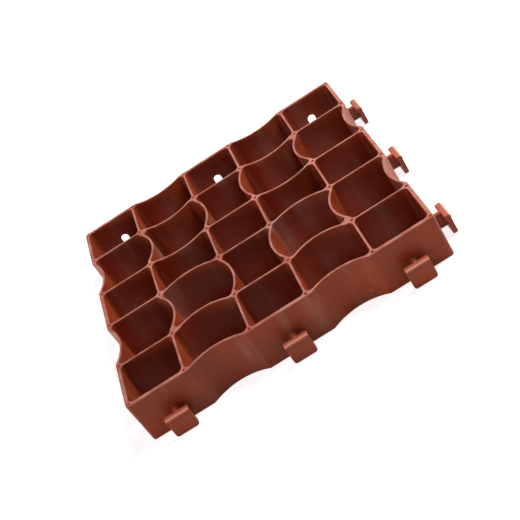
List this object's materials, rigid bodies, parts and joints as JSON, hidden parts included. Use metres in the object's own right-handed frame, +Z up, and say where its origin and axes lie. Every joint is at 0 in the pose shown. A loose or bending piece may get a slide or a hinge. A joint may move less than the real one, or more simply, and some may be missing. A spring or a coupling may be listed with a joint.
{
  "type": "grass paver grid",
  "caption": "Square moulded plastic ground grid with open cells between straight and bowed upright walls, hook clips on two sides and arched notches on the other two.",
  "frame": {"origin": "middle of the bounding box at the ground plane, with the clips counted in", "axes": "+Z up from the base, +X to the right wall with clips, -Y to the front wall with clips"},
  "size_m": [0.349, 0.349, 0.05],
  "materials": {
    "grid": "semi-matt moulded terracotta red"
  },
  "bodies": {
    "root": {"grid": "grid"}
  },
  "joints": []
}
